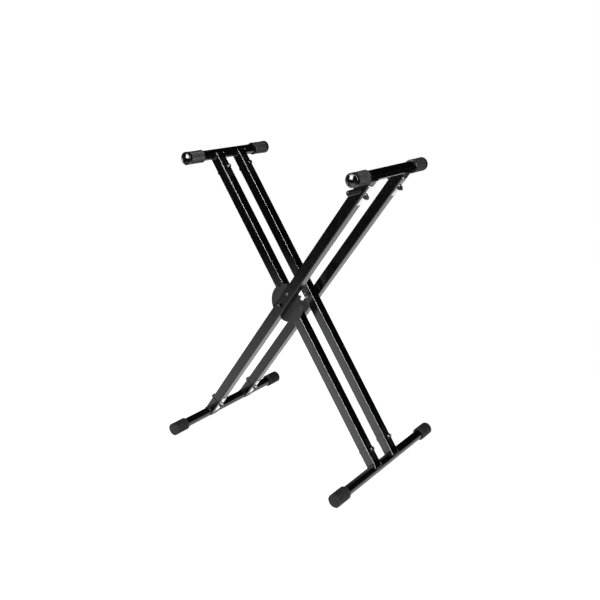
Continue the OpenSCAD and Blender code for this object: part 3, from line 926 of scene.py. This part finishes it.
def vector_value(tree, operation, vector, other):
    """Distance or dot product between a vector and a constant."""
    node = tree.nodes.new("ShaderNodeVectorMath")
    node.operation = operation
    node.inputs[1].default_value = other
    tree.links.new(vector, node.inputs[0])
    return node.outputs["Value"]


def scaled(tree, value, factor, start):
    """A value times a factor, plus a start."""
    node = tree.nodes.new("ShaderNodeMath")
    node.operation = "MULTIPLY_ADD"
    node.inputs[1].default_value = factor
    node.inputs[2].default_value = start
    tree.links.new(value, node.inputs[0])
    return node.outputs[0]


def floor_material():
    """Pale floor. The camera sees it white, with the soft shadow of the stand. In reflections it is
    a white sheet that fades out into a dark room."""
    mat = bpy.data.materials.new("pale_floor")
    mat.use_nodes = True
    tree = mat.node_tree
    nodes, link = tree.nodes, tree.links.new
    nodes.clear()
    out = nodes.new("ShaderNodeOutputMaterial")
    path = nodes.new("ShaderNodeLightPath")
    direct = largest(tree, path.outputs["Is Camera Ray"], path.outputs["Is Transmission Ray"])
    seen = largest(tree, direct, path.outputs["Is Glossy Ray"])
    place = nodes.new("ShaderNodeNewGeometry").outputs["Position"]
    away = vector_value(tree, "DISTANCE", place, SHEET_CENTRE)
    side = vector_value(tree, "DOT_PRODUCT", place, SHEET_SIDE)
    product = nodes.new("ShaderNodeMath")
    product.operation = "MULTIPLY"
    link(map_range(tree, away, SHEET_NEAR, SHEET_FAR, 1, 0), product.inputs[0])
    link(map_range(tree, side, *SHEET_EDGE, 1, 0), product.inputs[1])
    sheet = product.outputs[0]
    level = nodes.new("ShaderNodeMix")
    link(direct, level.inputs["Factor"])
    link(scaled(tree, sheet, SHEET_LEVEL, DARK_ROOM), level.inputs["A"])
    link(scaled(tree, sheet, SHEET_SHADE, FLOOR_WHITE), level.inputs["B"])
    glow = nodes.new("ShaderNodeEmission")
    link(level.outputs["Result"], glow.inputs["Strength"])
    paper = nodes.new("ShaderNodeBsdfDiffuse")
    link(scaled(tree, sheet, PAPER_LEVEL, 0.0), paper.inputs["Color"])
    lit = nodes.new("ShaderNodeAddShader")
    link(glow.outputs[0], lit.inputs[0])
    link(paper.outputs[0], lit.inputs[1])
    plain = nodes.new("ShaderNodeBsdfDiffuse")
    plain.inputs["Color"].default_value = (FLOOR_GREY, FLOOR_GREY, FLOOR_GREY, 1)
    mix = nodes.new("ShaderNodeMixShader")
    link(seen, mix.inputs["Fac"])
    link(plain.outputs[0], mix.inputs[1])
    link(lit.outputs[0], mix.inputs[2])
    link(mix.outputs[0], out.inputs["Surface"])
    return mat


def build_floor():
    """Flat floor that only sets the stage."""
    bm = bmesh.new()
    bmesh.ops.create_grid(bm, x_segments=FLOOR_CELLS, y_segments=FLOOR_CELLS, size=FLOOR_HALF)
    mesh = bpy.data.meshes.new("floor")
    bm.to_mesh(mesh)
    bm.free()
    mesh.materials.append(floor_material())
    floor = bpy.data.objects.new("floor", mesh)
    bpy.context.scene.collection.objects.link(floor)


def build_world():
    """White behind the stand; in reflections the white ends a little over the horizon."""
    world = bpy.data.worlds.new("studio")
    bpy.context.scene.world = world
    world.use_nodes = True
    tree = world.node_tree
    nodes, link = tree.nodes, tree.links.new
    nodes.clear()
    out = nodes.new("ShaderNodeOutputWorld")
    path = nodes.new("ShaderNodeLightPath")
    coords = nodes.new("ShaderNodeTexCoord")
    axes = nodes.new("ShaderNodeSeparateXYZ")
    link(coords.outputs["Generated"], axes.inputs[0])
    room = nodes.new("ShaderNodeBackground")
    height = map_range(tree, axes.outputs["Z"], *ROOM_HEIGHTS, *ROOM_LEVELS)
    link(height, room.inputs["Strength"])
    soft = nodes.new("ShaderNodeBackground")
    soft.inputs["Strength"].default_value = WORLD_SOFT
    white = nodes.new("ShaderNodeBackground")
    white.inputs["Strength"].default_value = WORLD_WHITE
    for node in (room, soft, white):
        node.inputs["Color"].default_value = (1, 1, 1, 1)
    bounced = nodes.new("ShaderNodeMixShader")
    link(path.outputs["Is Glossy Ray"], bounced.inputs["Fac"])
    link(soft.outputs[0], bounced.inputs[1])
    link(room.outputs[0], bounced.inputs[2])
    mix = nodes.new("ShaderNodeMixShader")
    direct = largest(tree, path.outputs["Is Camera Ray"], path.outputs["Is Transmission Ray"])
    link(direct, mix.inputs["Fac"])
    link(bounced.outputs[0], mix.inputs[1])
    link(white.outputs[0], mix.inputs[2])
    link(mix.outputs[0], out.inputs["Surface"])


def direction(azimuth, elevation):
    """Unit vector from the stand; azimuth 0 is in front and 90 to the right."""
    a, e = math.radians(azimuth), math.radians(elevation)
    return Vector((math.sin(a) * math.cos(e), -math.cos(a) * math.cos(e), math.sin(e)))


def softbox(name, low, high, distance, width, radiance, glossy):
    """Lamp that faces the stand, its long axis from one (azimuth, elevation) to another.

    A glossy lamp shows in reflections only, and the others only light the surfaces.
    """
    centre = Vector((0, 0, PIVOT_Z))
    start, end = direction(*low) * distance, direction(*high) * distance
    middle = (start + end) / 2
    up = (end - start).normalized()
    back = (middle - up * middle.dot(up)).normalized()
    lamp = bpy.data.lights.new(name, "AREA")
    lamp.shape = "RECTANGLE"
    lamp.size = width
    lamp.size_y = (end - start).length
    lamp.energy = radiance * math.pi * lamp.size * lamp.size_y
    obj = bpy.data.objects.new(name, lamp)
    obj.location = centre + middle
    obj.rotation_euler = Matrix((up.cross(back), up, back)).transposed().to_euler()
    obj.visible_camera = False
    obj.visible_diffuse = not glossy
    obj.visible_glossy = glossy
    bpy.context.scene.collection.objects.link(obj)


def build_camera():
    """Camera at the photograph's angle, with a slight roll."""
    data = bpy.data.cameras.new("camera")
    data.lens = CAMERA_LENS
    data.sensor_width = CAMERA_SENSOR
    camera = bpy.data.objects.new("camera", data)
    away = direction(CAMERA_AZIMUTH, CAMERA_ELEVATION)
    camera.location = Vector(CAMERA_TARGET) + away * CAMERA_DISTANCE
    roll = Matrix.Rotation(math.radians(CAMERA_ROLL), 3, "Z")
    camera.rotation_euler = (away.to_track_quat("Z", "Y").to_matrix() @ roll).to_euler()
    bpy.context.scene.collection.objects.link(camera)
    bpy.context.scene.camera = camera


pieces_at_ends()
fasteners()
rivet_piece()
grip_pieces()
spring_piece()
dress_nodes()
build_floor()
build_world()
for lamp in LAMPS:
    softbox(*lamp)
build_camera()
bpy.context.scene.view_settings.view_transform = "Standard"
